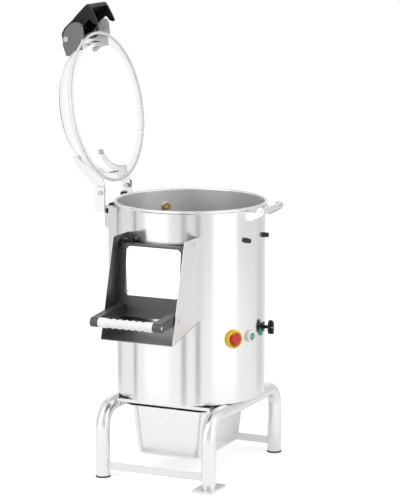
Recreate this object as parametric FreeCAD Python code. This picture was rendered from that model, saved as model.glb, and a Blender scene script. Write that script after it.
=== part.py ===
# Electric potato peeler: steel drum on two tube arches, clear hinged lid, outlet chute with a
# hinged door, belt-driven abrasive disc and a peel pan under the drum.
# Millimetres. X runs along the front, -Y is the chute side, +Z is up. Everything is built round
# the drum's axis, with the floor at z = 0, and moved to the box's bottom centre at the end.
import FreeCAD, Part
import math
import os

V = FreeCAD.Vector
xAxis = V(1, 0, 0)
yAxis = V(0, 1, 0)
zAxis = V(0, 0, 1)

# Fits
runningGap = 0.05
softGap = 0.3
slideGap = 1.0

# Drum
drumRadius = 220.0
drumWall = 1.5
drumBottom = 230.0
rimHeight = 798.0
rimTube = 5.0
rimRing = drumRadius - drumWall + rimTube
floorHeight = 474.0
floorThick = 3.0
linerThick = 3.0
linerTop = 640.0
linerRise = 8.0
baseThick = 2.0

# Frame
tubeRadius = 21.2
tubeWall = 2.0
bendRadius = 60.0
legSpacingX = 343.0
legSpacingY = 474.0
legCentreY = -5.0
archDrop = 0.8
footHeight = 5.0
footWall = 0.8
plateThick = 8.0
plateSizeX = 62.0
plateSizeY = 100.0
anchorHole = 5.5
anchorSpacing = 74.0
barHeight = 22.0
barThick = 6.0
barLow = 24.0
trayThick = 2.0
trayDrop = 17.0
trayFlange = 22.0
trayHalfY = 190.0
trayHole = 46.0

# Peel pan
panLength = 325.0
panWidth = 265.0
panDepth = 150.0
panTaperX = 27.0
panTaperY = 17.0
panWall = 1.0
panCentreY = -15.0
panRimWide = 10.0
panRimTop = 208.0
panCorner = 30.0
panFoot = 10.0
railThick = 2.0
railReach = 8.0

# Waste pipe
wasteRadius = 30.0
wasteWall = 1.5
wasteX = 0.0
wasteY = -130.0
wasteEnd = 211.0

# Drive
shaftRadius = 12.5
shaftBottom = drumBottom + 38.0
discRadius = 205.0
discThick = 8.0
discWave = 7.0
discWaves = 3
hubRadius = 32.0
hubHeight = 26.0
housingRadius = 34.0
housingWall = 7.0
housingLength = 110.0
housingFlange = 62.0
housingFlangeThick = 8.0
bearingWidth = 15.0
sealHeight = 8.0
largePulleyRadius = 95.0
largePulleyThick = 22.0
smallPulleyRadius = 26.0
pulleyLift = 8.0
beltThick = 8.0
beltWide = 13.0
motorX = 0.0
motorY = 135.0
motorRadius = 56.0
motorFins = 18
motorFinHigh = 5.0
motorTopGap = 42.0
motorLowGap = 14.0
plateHalf = 70.0
postRadius = 6.0
motorShaftRadius = 9.5
bracketThick = 5.0
controlTop = floorHeight - 19.0
controlHigh = 125.0
controlNear = 120.0
controlDeep = 54.0
controlFront = -70.0
controlBack = 45.0
controlWall = 2.0
controlLid = 8.0

# Chute and door
chuteHalf = 114.0
sheet = 2.0
chuteTopFront = -280.0
chuteBottomFront = -362.0
chuteBottomHeight = 443.0
chuteBackHeight = 481.0
openingHalf = 92.0
openingLow = 492.0
doorPivotY = -215.5
doorTopZ = 703.0
doorPivotZ = doorTopZ + 7.0
chuteTop = doorTopZ + 24.0
openingHigh = doorTopZ - 9.0
doorHalf = 107.0
doorTopY = -245.0
doorBottomY = -266.5
doorBottomZ = 494.0
doorLinerHalf = 86.5
doorLinerTop = doorTopZ - 6.0
doorLinerLow = 556.0
doorLinerThick = 1.5
doorLinerCorner = 9.0
armWide = 24.0
armHigh = 28.0
armFrontY = -421.0
armFrontZ = 505.0
armBackZ = 517.0
gripRadius = 14.5
gripFlute = 2.4
gripRound = 17.0
gripFlutes = 5
studY = -319.0
studZ = 507.6
studRadius = 4.0

# Lid, drawn closed and then turned open about its pin
lidOpen = 100.0
hingeX = -245.0
hingeZ = 820.0
hingePinRadius = 4.0
hingeMidY = -14.0
hingeHalf = 91.0
earThick = 5.0
earLow = 762.0
earHigh = 837.0
earHalf = 16.0
flangeOuter = 225.0
flangeInner = 197.0
flangeLow = 806.6
flangeThick = 5.0
gasketInner = 216.0
gasketOuter = 224.0
lidLip = 2.5
domeWall = 3.5
domeCrown = 600.0
domeKnuckle = 60.0
domeSkirt = 12.0
lidArmThick = 4.0
lidArmInner = -128.0
boxFront = -100.0
boxBack = 72.0
boxOuter = -234.0
boxLow = 716.0
boxWall = 3.0
boxRound = 12.0
windowWide = 12.0
windowHigh = 18.0
postOuter = -222.0
postDeep = 34.0
postLow = 600.0
boxHigh = 778.0
stopWide = 12.0
stopHigh = 13.0
stopLow = 786.0
padLength = 35.0
padHigh = 4.0
padWide = 10.0
boltHead = 7.0
boltHeadThick = 4.0
boltSpare = 2.5

# Latch, catch bar and buffers
cheekMid = 84.0
cheekThick = 3.0
latchX = 216.0
latchZ = 861.0
latchPinRadius = 4.0
latchWide = 81.0
hookWide = 57.0
catchX = 255.0
catchZ = 793.0
catchRadius = 7.5
catchHalf = 73.0
catchGap = 1.5
bracketY = 66.0
bracketWide = 12.0
bracketEye = 11.5
catchScrew = 4.0
catchScrewThick = 2.5
ribThick = 7.0
bumperRadius = 7.8
bumperLength = 15.0
bumperDrop = 92.0
bumperAngles = (-18.0, 11.0)

# Controls, each at an angle round the drum from +X
estopAngle = -30.5
estopHeight = floorHeight - 53.0
estopDisc = 27.0
estopDiscThick = 3.0
estopShroud = 9.0
estopWell = 20.5
estopCap = 19.0
estopCapThick = 9.5
estopNeck = 12.0
estopTravel = 5.0
startAngle = -13.3
startHeight = floorHeight - 53.5
startRadius = 17.0
startProud = 10.0
startCap = 10.8
startTravel = 3.0
lampAngle = 3.5
lampHeight = floorHeight - 55.0
lampRadius = 8.5
lampProud = 6.0
switchAngle = 9.5
switchHeight = floorHeight - 42.0
switchPlate = 26.0
switchPlateThick = 3.0
switchShaft = 5.0
switchKnob = 21.0
switchKnobThick = 6.0
switchFin = 8.0
switchFinWide = 14.0
switchFinRound = 12.0
switchReach = 16.0

# Water inlet
nozzleAngle = 135.6
nozzleHeight = 749.0
nozzleRadius = 11.0
nozzleBore = 6.0
pipeReach = 34.0

parts = {}


def cyl(radius, height, base=V(0, 0, 0), axis=zAxis):
    return Part.makeCylinder(radius, height, base, axis)


def tube(outer, inner, height, base=V(0, 0, 0), axis=zAxis):
    return cyl(outer, height, base, axis).cut(cyl(inner, height + 2, base - axis, axis))


def block(x0, x1, y0, y1, z0, z1):
    return Part.makeBox(x1 - x0, y1 - y0, z1 - z0, V(x0, y0, z0))


def prism(points, start, length, along):
    # A closed outline in the plane across the axis, drawn out along it.
    if along == "x":
        corners = [V(start, a, b) for a, b in points]
        way = V(length, 0, 0)
    elif along == "y":
        corners = [V(a, start, b) for a, b in points]
        way = V(0, length, 0)
    else:
        corners = [V(a, b, start) for a, b in points]
        way = V(0, 0, length)
    face = Part.Face(Part.makePolygon(corners + [corners[0]]))
    return face.extrude(way)


def fuse(shapes):
    whole = shapes[0]
    for shape in shapes[1:]:
        whole = whole.fuse(shape)
    return whole.removeSplitter()


def turned(shape, angle, axis=zAxis, centre=V(0, 0, 0)):
    copy = shape.copy()
    copy.rotate(centre, axis, angle)
    return copy


def mirrored(shape):
    return shape.mirror(V(0, 0, 0), xAxis)


def radial(shape, angle, height):
    # A shape drawn along +X from the drum's surface, moved round the drum to its place.
    copy = shape.copy()
    copy.translate(V(drumRadius, 0, height))
    return turned(copy, angle)


def group(shapes):
    return Part.makeCompound(shapes)


def legPath(x):
    # The centre line of one arch: leg, bend, level run, bend, leg.
    front = legCentreY - legSpacingY / 2
    back = legCentreY + legSpacingY / 2
    top = drumBottom - archDrop - tubeRadius
    r = bendRadius
    k = r * (1 - math.sqrt(0.5))
    edges = [
        Part.makeLine(V(x, front, 0), V(x, front, top - r)),
        Part.Arc(V(x, front, top - r), V(x, front + k, top - k), V(x, front + r, top)).toShape(),
        Part.makeLine(V(x, front + r, top), V(x, back - r, top)),
        Part.Arc(V(x, back - r, top), V(x, back - k, top - k), V(x, back, top - r)).toShape(),
        Part.makeLine(V(x, back, top - r), V(x, back, 0)),
    ]
    return Part.Wire(edges)


def makeFrame():
    front = legCentreY - legSpacingY / 2
    back = legCentreY + legSpacingY / 2
    side = legSpacingX / 2
    for name, sign, raised in (("left_leg_arch", -1, (back,)), ("right_leg_arch", 1, (front,))):
        x = sign * side
        start = Part.Wire(Part.makeCircle(tubeRadius, V(x, front, 0), zAxis))
        hollow = Part.Wire(Part.makeCircle(tubeRadius - tubeWall, V(x, front, 0), zAxis))
        arch = legPath(x).makePipeShell([start], True, False)
        bore = legPath(x).makePipeShell([hollow], True, False)
        arch = arch.cut(bore)
        for y in (front, back):
            height = plateThick if y in raised else footHeight
            arch = arch.cut(cyl(tubeRadius + 1, height, V(x, y, 0)))
        parts[name] = arch
    feet = []
    plates = []
    for x, y, flat in ((-side, front, False), (side, back, False), (side, front, True), (-side, back, True)):
        if flat:
            plate = block(x - plateSizeX / 2, x + plateSizeX / 2, y - plateSizeY / 2, y + plateSizeY / 2, 0, plateThick)
            for step in (-anchorSpacing / 2, anchorSpacing / 2):
                plate = plate.cut(cyl(anchorHole, plateThick + 2, V(x, y + step, -1)))
            plates.append(plate)
        else:
            foot = cyl(tubeRadius + footWall, footHeight, V(x, y, 0))
            feet.append(foot)
    parts["rubber_feet"] = group(feet)
    parts["floor_plates"] = group(plates)
    for name, y in (("front_cross_bar", front), ("rear_cross_bar", back)):
        bar = block(-side, side, y - barThick / 2, y + barThick / 2, barLow, barLow + barHeight)
        for x in (-side, side):
            bar = bar.cut(cyl(tubeRadius, 200, V(x, y, 0)))
        parts[name] = bar


def makeTray():
    # The plate that carries the drum, folded down at its edges, with rails for the pan.
    half = legSpacingX / 2 - tubeRadius - 0.2
    top = drumBottom - baseThick
    low = top - trayThick
    plate = block(-half, half, -trayHalfY, trayHalfY, low, top)
    skirt = block(-half, half, -trayHalfY, trayHalfY, low - trayFlange, low)
    hollow = block(-half + trayThick, half - trayThick, -trayHalfY + trayThick, trayHalfY + 1, low - trayFlange, low)
    mouth = block(-half + 8, half - 8, -trayHalfY - 1, -trayHalfY + trayThick + 1, low - trayFlange - 1, low - 8)
    tray = plate.fuse(skirt.cut(hollow).cut(mouth))
    tray = tray.cut(cyl(trayHole, 40, V(wasteX, wasteY, low - 10)))
    slot = panWidth / 2 + slideGap
    hold = panRimTop - panWall - softGap
    rails = []
    for sign in (-1, 1):
        x0 = sign * (slot - railReach)
        x1 = sign * (slot + railThick)
        shelf = block(min(x0, x1), max(x0, x1), -trayHalfY + 30, trayHalfY, hold - railThick, hold)
        x0 = sign * slot
        web = block(min(x0, x1), max(x0, x1), -trayHalfY + 30, trayHalfY, hold - railThick, low)
        rails.append(shelf.fuse(web))
    parts["support_tray"] = fuse([tray] + rails)


def panBlock(grow, low, high):
    # A tapered box with rounded corners between two heights of the pan.
    faces = []
    for z in (low, high):
        share = (panRimTop - z) / panDepth
        a = panWidth / 2 - panRimWide - (panTaperX - panRimWide) * share + grow
        b = panLength / 2 - panRimWide - (panTaperY - panRimWide) * share + grow
        r = panCorner + grow
        c = r * (1 - math.sqrt(0.5))
        y = panCentreY
        edges = []
        for sx, sy in ((1, 1), (-1, 1), (-1, -1), (1, -1)):
            p = V(sx * a, y + sy * (b - r), z)
            q = V(sx * (a - r), y + sy * b, z)
            m = V(sx * (a - c), y + sy * (b - c), z)
            if sx * sy < 0:
                p, q = q, p
            edges.append((p, m, q))
        lines = []
        for i, (p, m, q) in enumerate(edges):
            lines.append(Part.Arc(p, m, q).toShape())
            lines.append(Part.makeLine(q, edges[(i + 1) % 4][0]))
        faces.append(Part.Wire(lines))
    return Part.makeLoft(faces, True, True)


def makePan():
    low = panRimTop - panDepth
    outer = panBlock(0, low, panRimTop)
    outer = outer.makeFillet(panFoot, [e for e in outer.Edges if e.BoundBox.ZMax < low + 1e-3])
    inner = panBlock(-panWall, low + panWall, panRimTop + 1)
    inner = inner.makeFillet(panFoot - panWall, [e for e in inner.Edges if e.BoundBox.ZMax < low + panWall + 1e-3])
    halfX = panWidth / 2
    halfY = panLength / 2
    rim = block(-halfX, halfX, panCentreY - halfY, panCentreY + halfY, panRimTop - panWall, panRimTop)
    corners = [e for e in rim.Edges if abs(e.Vertexes[0].Z - e.Vertexes[1].Z) > panWall / 2]
    rim = rim.makeFillet(panCorner + panRimWide - 8, corners)
    parts["peel_pan"] = outer.fuse(rim).cut(inner).removeSplitter()


def makeDrum():
    shell = tube(drumRadius, drumRadius - drumWall, rimHeight - drumBottom, V(0, 0, drumBottom))
    bead = Part.makeTorus(rimRing, rimTube, V(0, 0, rimHeight), zAxis)
    shell = shell.fuse(bead)
    opening = block(-openingHalf, openingHalf, -drumRadius - 5, -drumRadius / 2, openingLow, openingHigh)
    shell = shell.cut(opening)
    stem = drumRadius / 2
    holes = ((estopAngle, estopHeight, estopNeck), (startAngle, startHeight, startCap + 2), (lampAngle, lampHeight, 6),
             (switchAngle, switchHeight, switchShaft + 1), (nozzleAngle, nozzleHeight, nozzleBore + 2))
    for angle, height, radius in holes:
        cutter = turned(cyl(radius, stem, V(drumRadius - stem / 2, 0, height), xAxis), angle)
        shell = shell.cut(cutter)
    parts["drum_shell"] = shell.removeSplitter()
    inside = drumRadius - drumWall
    plate = cyl(inside, floorThick, V(0, 0, floorHeight))
    plate = plate.cut(cyl(housingRadius, floorThick + 2, V(0, 0, floorHeight - 1)))
    plate = plate.cut(cyl(wasteRadius, floorThick + 2, V(wasteX, wasteY, floorHeight - 1)))
    parts["chamber_floor"] = plate
    low = floorHeight + floorThick + linerRise
    lining = tube(inside, inside - linerThick, linerTop - low, V(0, 0, low))
    margin = 4.0
    gap = block(-openingHalf - margin, openingHalf + margin, -drumRadius - 5, -drumRadius / 2, low - 1, linerTop + 1)
    parts["abrasive_lining"] = lining.cut(gap)
    base = cyl(inside, baseThick, V(0, 0, drumBottom))
    base = base.cut(cyl(wasteRadius, baseThick + 2, V(wasteX, wasteY, drumBottom - 1)))
    parts["base_cover"] = base
    pipe = tube(wasteRadius, wasteRadius - wasteWall, floorHeight + floorThick - wasteEnd, V(wasteX, wasteY, wasteEnd))
    parts["waste_pipe"] = pipe


def makeDrive():
    top = floorHeight + floorThick
    seat = top - 2
    discLow = top + sealHeight + 3
    housingLow = floorHeight - housingLength
    flange = tube(housingFlange, housingRadius, housingFlangeThick, V(0, 0, floorHeight - housingFlangeThick))
    barrel = tube(housingRadius, housingRadius - housingWall, housingLength + floorThick, V(0, 0, housingLow))
    parts["bearing_housing"] = barrel.fuse(flange).removeSplitter()
    bearings = []
    for z in (housingLow + 4, floorHeight - bearingWidth - 6):
        bearings.append(tube(housingRadius - housingWall, shaftRadius + runningGap, bearingWidth, V(0, 0, z)))
    parts["shaft_bearings"] = group(bearings)
    parts["shaft_seal"] = tube(housingRadius - housingWall, shaftRadius + softGap, sealHeight, V(0, 0, seat - 4))
    hubLow = discLow - 2
    parts["drive_shaft"] = cyl(shaftRadius, hubLow + hubHeight - shaftBottom, V(0, 0, shaftBottom))
    hub = tube(hubRadius, shaftRadius, hubHeight, V(0, 0, hubLow))
    parts["disc_hub"] = hub
    disc = tube(discRadius, hubRadius, discThick, V(0, 0, discLow))
    ridges = []
    for i in range(discWaves):
        ridge = block(hubRadius + 8, discRadius - 14, -26, 26, discLow + discThick - 1, discLow + discThick + discWave)
        edges = [e for e in ridge.Edges if e.Vertexes[0].Z > discLow + discThick + 1 and
                 e.Vertexes[1].Z > discLow + discThick + 1]
        ridge = ridge.makeFillet(discWave - 0.5, edges)
        ridges.append(turned(ridge, 360.0 * i / discWaves))
    parts["abrasive_disc"] = fuse([disc] + ridges)
    pulleyLow = shaftBottom + pulleyLift
    beltMid = pulleyLow + largePulleyThick / 2
    groove = beltThick * 0.7
    for name, radius, bore, x, y in (("large_pulley", largePulleyRadius, shaftRadius, 0, 0),
                                     ("motor_pulley", smallPulleyRadius, motorShaftRadius, motorX, motorY)):
        wheel = tube(radius, bore, largePulleyThick, V(x, y, pulleyLow))
        ring = tube(radius + 1, radius - groove, beltWide + 2 * softGap, V(x, y, beltMid - beltWide / 2 - softGap))
        parts[name] = wheel.cut(ring)
    parts["drive_belt"] = makeBelt(beltMid, groove)
    motorLow = pulleyLow + largePulleyThick + motorLowGap
    motorLength = floorHeight - motorTopGap - motorLow
    body = cyl(motorRadius, motorLength, V(motorX, motorY, motorLow))
    body = body.cut(cyl(motorShaftRadius + runningGap, 40, V(motorX, motorY, motorLow - 1)))
    fins = []
    for i in range(motorFins):
        fin = block(motorRadius - 2, motorRadius + motorFinHigh, -1.5, 1.5, motorLow + 15, motorLow + motorLength - 15)
        fin = turned(fin, 360.0 * i / motorFins)
        fin.translate(V(motorX, motorY, 0))
        fins.append(fin)
    parts["motor"] = fuse([body] + fins)
    parts["motor_shaft"] = cyl(motorShaftRadius, motorLow + 34 - pulleyLow, V(motorX, motorY, pulleyLow))
    plateLow = motorLow + motorLength
    deep = motorRadius + motorFinHigh + 1
    plate = block(-plateHalf, plateHalf, motorY - deep, motorY + deep, plateLow, plateLow + bracketThick)
    posts = []
    for x in (-plateHalf + 18, plateHalf - 18):
        for y in (motorY - deep + 12, motorY + deep - 18):
            posts.append(cyl(postRadius, motorTopGap - bracketThick, V(x, y, plateLow + bracketThick)))
    inside = cyl(drumRadius - drumWall - 4, 400, V(0, 0, drumBottom))
    parts["motor_bracket"] = fuse([plate] + posts).common(inside)
    makeControlBox()


def makeControlBox():
    # A box inside the drum's skin with an open lid frame, two contactors and a hanger to the chamber floor.
    low = controlTop - controlHigh
    far = controlNear + controlDeep
    w = controlWall
    case = block(controlNear, far - w, controlFront, controlBack, low, controlTop)
    case = case.cut(block(controlNear + w, far, controlFront + w, controlBack - w, low + w, controlTop - w))
    cover = block(far - w, far, controlFront, controlBack, low, controlTop)
    r = controlLid
    cover = cover.cut(block(far - 2 * w, far + 1, controlFront + r, controlBack - r, low + r, controlTop - r))
    hanger = block(controlNear, controlNear + 2 * w, controlFront + 20, controlBack - 20, controlTop, floorHeight)
    wide = (controlBack - controlFront) / 4
    contactors = []
    for share in (0.2, 0.6):
        y = controlFront + share * (controlBack - controlFront)
        contactors.append(block(controlNear + w, controlNear + w + 30, y - wide / 2, y + wide / 2, low + 20, controlTop - 35))
    parts["control_box"] = group([fuse([case, cover, hanger])] + contactors)


def makeBelt(mid, groove):
    # An open belt round both pulleys: the outer loop less the inner one.
    low = mid - beltWide / 2
    lift = beltThick - groove

    def loop(extra):
        big = largePulleyRadius - groove + softGap + extra
        small = smallPulleyRadius - groove + softGap + extra
        lean = math.asin((big - small) / motorY)
        points = []
        for r, y in ((big, 0), (small, motorY)):
            points.append((r * math.cos(lean), y + r * math.sin(lean)))
        right = points
        left = [(-x, y) for x, y in reversed(points)]
        body = prism(right + left, low, beltWide, "z")
        body = body.fuse(cyl(big, beltWide, V(0, 0, low)))
        return body.fuse(cyl(small, beltWide, V(0, motorY, low)))

    return loop(groove + lift - softGap).cut(loop(0)).removeSplitter()


def chuteSide(outerX, thick):
    back = -math.sqrt(drumRadius ** 2 - outerX ** 2)
    outline = [(back, chuteTop), (chuteTopFront, chuteTop), (chuteBottomFront, chuteBottomHeight),
               (back, chuteBackHeight)]
    return prism(outline, outerX - thick, thick, "x")


def makeChute():
    bore = cyl(drumRadius, 800, V(0, 0, 0))
    right = chuteSide(chuteHalf, sheet)
    ring = tube(drumRadius + sheet, drumRadius, 400, V(0, 0, chuteBackHeight))
    flange = block(chuteHalf, chuteHalf + 12, -drumRadius, 0, chuteBackHeight, chuteTop).common(ring)
    right = right.fuse(flange)
    pivots = ((doorPivotY, doorPivotZ), (studY, studZ))
    for y, z in pivots:
        right = right.cut(cyl(studRadius, 40, V(chuteHalf - 20, y, z), xAxis))
    right = right.cut(bore).removeSplitter()
    parts["chute_right_plate"] = right
    parts["chute_left_plate"] = mirrored(right)
    # The floor lies under both plates' lower edges and runs in under the drum's skin, where the bore ends it.
    back = -math.sqrt(drumRadius ** 2 - chuteHalf ** 2)
    slope = (chuteBackHeight - chuteBottomHeight) / (back - chuteBottomFront)
    far = -drumRadius * 0.8
    farHeight = chuteBottomHeight + slope * (far - chuteBottomFront)
    outline = [(chuteBottomFront, chuteBottomHeight), (chuteBottomFront, chuteBottomHeight - sheet),
               (far, farHeight - sheet), (far, farHeight)]
    parts["chute_floor"] = prism(outline, -chuteHalf, 2 * chuteHalf, "x").cut(bore)


def doorPoint(z):
    # Where the door's front face stands at a height.
    share = (doorTopZ - z) / (doorTopZ - doorBottomZ)
    return doorTopY + (doorBottomY - doorTopY) * share


def makeDoor():
    outline = [(doorPoint(doorTopZ), doorTopZ), (doorPoint(doorBottomZ), doorBottomZ),
               (doorPoint(doorBottomZ) + sheet, doorBottomZ), (doorPoint(doorTopZ) + sheet, doorTopZ)]
    panel = prism(outline, -doorHalf, 2 * doorHalf, "x")
    lintel = block(-doorHalf, doorHalf, doorTopY, -drumRadius - slideGap, doorTopZ - sheet, doorTopZ)
    ears = []
    for sign in (-1, 1):
        x0 = sign * (doorHalf - 3) if sign > 0 else -doorHalf
        ear = prism([(doorTopY, doorTopZ - 12), (doorTopY, doorTopZ), (doorPivotY - 6, doorPivotZ + 8),
                     (doorPivotY + 8, doorPivotZ + 8), (doorPivotY + 8, doorTopZ - 12)], x0, 3, "x")
        ears.append(ear.cut(cyl(studRadius + runningGap, 20, V(x0 - 5, doorPivotY, doorPivotZ), xAxis)))
    parts["door_panel"] = fuse([panel, lintel] + ears)
    c = doorLinerCorner
    h = doorLinerHalf
    face = [(-h + c, doorLinerTop), (h - c, doorLinerTop), (h, doorLinerTop - c), (h, doorLinerLow + c),
            (h - c, doorLinerLow), (-h + c, doorLinerLow), (-h, doorLinerLow + c), (-h, doorLinerTop - c)]
    plug = prism(face, doorBottomY - 20, 60, "y")
    t = doorLinerThick
    skin = [(doorPoint(z) - d, z) for z, d in ((doorTopZ, t), (doorBottomZ, t))]
    skin += [(doorPoint(doorBottomZ), doorBottomZ), (doorPoint(doorTopZ), doorTopZ)]
    parts["door_liner"] = prism(skin, -doorHalf, 2 * doorHalf, "x").common(plug)
    screws = []
    for x in (-h + 10, h - 10):
        for z in (doorLinerTop - 12, doorLinerLow + 12):
            screws.append(cyl(3.0, 1.6, V(x, doorPoint(z) - t - 1.8, z), yAxis))
    parts["door_screws"] = group([s.cut(parts["door_liner"]) for s in screws])
    arms = []
    for sign in (-1, 1):
        outer = doorHalf + 3
        x0 = outer - armWide if sign > 0 else -outer
        half = armHigh / 2
        outline = [(doorPoint(armBackZ + half), armBackZ + half), (armFrontY, armFrontZ + half),
                   (armFrontY, armFrontZ - half), (doorPoint(armBackZ - half), armBackZ - half)]
        arm = prism(outline, x0, armWide, "x").fuse(cyl(half, armWide, V(x0, armFrontY, armFrontZ), xAxis))
        arm = arm.cut(cyl(5, 60, V(x0 - 10, armFrontY, armFrontZ), xAxis))
        arms.append(arm.removeSplitter())
    parts["door_arms"] = group(arms)
    inner = doorHalf + 3 - armWide
    grip = cyl(gripRadius, 2 * inner, V(-inner, armFrontY, armFrontZ), xAxis)
    pitch = 2 * inner / (gripFlutes + 2)
    ringRadius = gripRadius + gripRound - gripFlute
    for i in range(gripFlutes):
        x = (i - (gripFlutes - 1) / 2) * pitch
        flute = Part.makeTorus(ringRadius, gripRound, V(x, armFrontY, armFrontZ), xAxis)
        grip = grip.cut(flute)
    bore = cyl(5, 2 * inner + 2, V(-inner - 1, armFrontY, armFrontZ), xAxis)
    parts["door_grip"] = grip.cut(bore)
    rod = cyl(5, 2 * (doorHalf + 3), V(-doorHalf - 3, armFrontY, armFrontZ), xAxis)
    parts["grip_rod"] = rod
    pins = []
    studs = []
    for sign in (-1, 1):
        way = V(-sign, 0, 0)
        start = V(sign * (chuteHalf + 5), doorPivotY, doorPivotZ)
        shank = cyl(studRadius, chuteHalf + 5 - doorHalf + 6, start, way)
        pins.append(shank.fuse(cyl(7.5, 5, start, way)).removeSplitter())
        start = V(sign * (chuteHalf + 4), studY, studZ)
        shank = cyl(studRadius, 4 + sheet + 0.8, start, way)
        studs.append(shank.fuse(cyl(6.5, 4, start, way)).removeSplitter())
    parts["door_pivot_bolts"] = group(pins)
    parts["door_catch_studs"] = group(studs)


def domeProfile(inset):
    # Half section of the clear dome: skirt, knuckle and crown as tangent arcs, z from its base.
    r = flangeInner - inset
    knuckle = domeKnuckle - inset
    crown = domeCrown - inset
    reach = flangeInner - domeKnuckle
    top = domeSkirt + math.sqrt((domeCrown - domeKnuckle) ** 2 - reach ** 2)
    middle = domeSkirt - (math.sqrt((domeCrown - domeKnuckle) ** 2 - reach ** 2))
    lean = math.asin(reach / (domeCrown - domeKnuckle))
    joint = (crown * math.sin(lean), middle + crown * math.cos(lean))
    mid = math.pi / 4 - lean / 2
    bend = (reach + knuckle * math.cos(mid), domeSkirt + knuckle * math.sin(mid))
    apex = middle + crown
    half = (crown * math.sin(lean / 2), middle + crown * math.cos(lean / 2))
    return r, joint, bend, half, apex, top


def domeSolid(inset, low, base):
    r, joint, bend, half, apex, top = domeProfile(inset)
    p = [V(0, 0, base + low), V(r, 0, base + low), V(r, 0, base + domeSkirt)]
    edges = [Part.makeLine(p[0], p[1]), Part.makeLine(p[1], p[2])]
    q = V(joint[0], 0, base + joint[1])
    edges.append(Part.Arc(p[2], V(bend[0], 0, base + bend[1]), q).toShape())
    a = V(0, 0, base + apex)
    edges.append(Part.Arc(q, V(half[0], 0, base + half[1]), a).toShape())
    edges.append(Part.makeLine(a, p[0]))
    return Part.Face(Part.Wire(edges)).revolve(V(0, 0, 0), zAxis, 360)


def cheekOutline():
    # The cheek's outline, told from the latch's pivot.
    rim = [(-56, -55), (28, -61), (40.5, -55), (45.5, -40.4), (43, -23), (31.8, -5), (15, 8), (-16, 15), (-49, 9)]
    return [(latchX + x, latchZ + z) for x, z in rim]


def makeLid():
    base = flangeLow + flangeThick
    dome = domeSolid(0, 0, base)
    flange = cyl(flangeOuter, flangeThick, V(0, 0, flangeLow))
    lip = tube(flangeOuter, flangeOuter - 3, lidLip + flangeThick, V(0, 0, flangeLow))
    dome = dome.fuse(flange).fuse(lip).cut(domeSolid(domeWall, -flangeThick - 1, base))
    parts["lid_dome"] = dome.removeSplitter()
    gasketLow = rimHeight + rimTube + softGap
    parts["lid_gasket"] = tube(gasketOuter, gasketInner, flangeLow - gasketLow, V(0, 0, gasketLow))
    seat = 0.1
    top = flangeThick + lidLip + seat
    keepOut = domeSolid(-seat, -1, base).fuse(cyl(flangeOuter + seat, top + 40, V(0, 0, flangeLow - 40)))
    keepOut = keepOut.fuse(cyl(rimRing + rimTube + slideGap, 40, V(0, 0, rimHeight + rimTube + softGap - 40)))
    arms = []
    for side in (-1, 1):
        y = hingeMidY + side * (hingeHalf - earThick - lidArmThick - 0.5) - lidArmThick / 2
        rim = [(-9, -5), (-9, 6), (2, 12), (40, 32), (75, 64), (lidArmInner - hingeX, 80), (lidArmInner - hingeX, 40),
               (65, -8), (21, -13.2), (0, -11)]
        outline = [(hingeX + x, hingeZ + z) for x, z in rim]
        arm = prism(outline, y, lidArmThick, "y")
        arm = arm.cut(cyl(hingePinRadius + runningGap, 40, V(hingeX, y - 10, hingeZ), yAxis))
        arms.append(pickLargest(arm.cut(keepOut)))
    parts["lid_arms"] = group(arms)
    cheeks = []
    for side in (-1, 1):
        y = side * cheekMid - cheekThick / 2
        plate = prism(cheekOutline(), y, cheekThick, "y")
        plate = plate.cut(cyl(latchPinRadius, 20, V(latchX, y - 8, latchZ), yAxis))
        cheeks.append(pickLargest(plate.cut(keepOut)))
    parts["latch_cheeks"] = group(cheeks)
    ends = cheekMid + cheekThick / 2
    pin = cyl(latchPinRadius, 2 * ends + 2, V(latchX, -ends - 1, latchZ), yAxis)
    heads = [cyl(8, 3, V(latchX, y, latchZ), yAxis) for y in (-ends - 3, ends)]
    parts["latch_pin"] = fuse([pin] + heads)
    makeTabs(base)
    makeLatch()


def pickLargest(shape):
    return max(shape.Solids, key=lambda s: s.Volume)


def domeTop(r, base):
    # Height of the dome's outer surface at a distance from its axis.
    reach = flangeInner - domeKnuckle
    lean = math.asin(reach / (domeCrown - domeKnuckle))
    if r <= domeCrown * math.sin(lean):
        middle = domeSkirt - math.sqrt((domeCrown - domeKnuckle) ** 2 - reach ** 2)
        return base + middle + math.sqrt(domeCrown ** 2 - r * r)
    return base + domeSkirt + math.sqrt(max(domeKnuckle ** 2 - (r - reach) ** 2, 0))


def makeTabs(base):
    # Round fixings that clamp the arms and cheeks to the dome, each beside its plate.
    tabs = []
    spots = []
    for side in (-1, 1):
        armY = hingeMidY + side * (hingeHalf - earThick - lidArmThick - 0.5)
        spots.append((lidArmInner - 8, armY - side * (lidArmThick / 2 + 7)))
        spots.append((latchX - 44, side * (cheekMid - cheekThick / 2 - 7)))
    for x, y in spots:
        z = domeTop(math.hypot(x, y), base)
        tabs.append(cyl(7, 18, V(x, y, z - 9)).cut(domeSolid(-0.05, -1, base)))
    tabs = [pickLargest(t) for t in tabs]
    parts["lid_fixings"] = group(tabs)


def fromLatch(points):
    return [(latchX + x, latchZ + z) for x, z in points]


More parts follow.
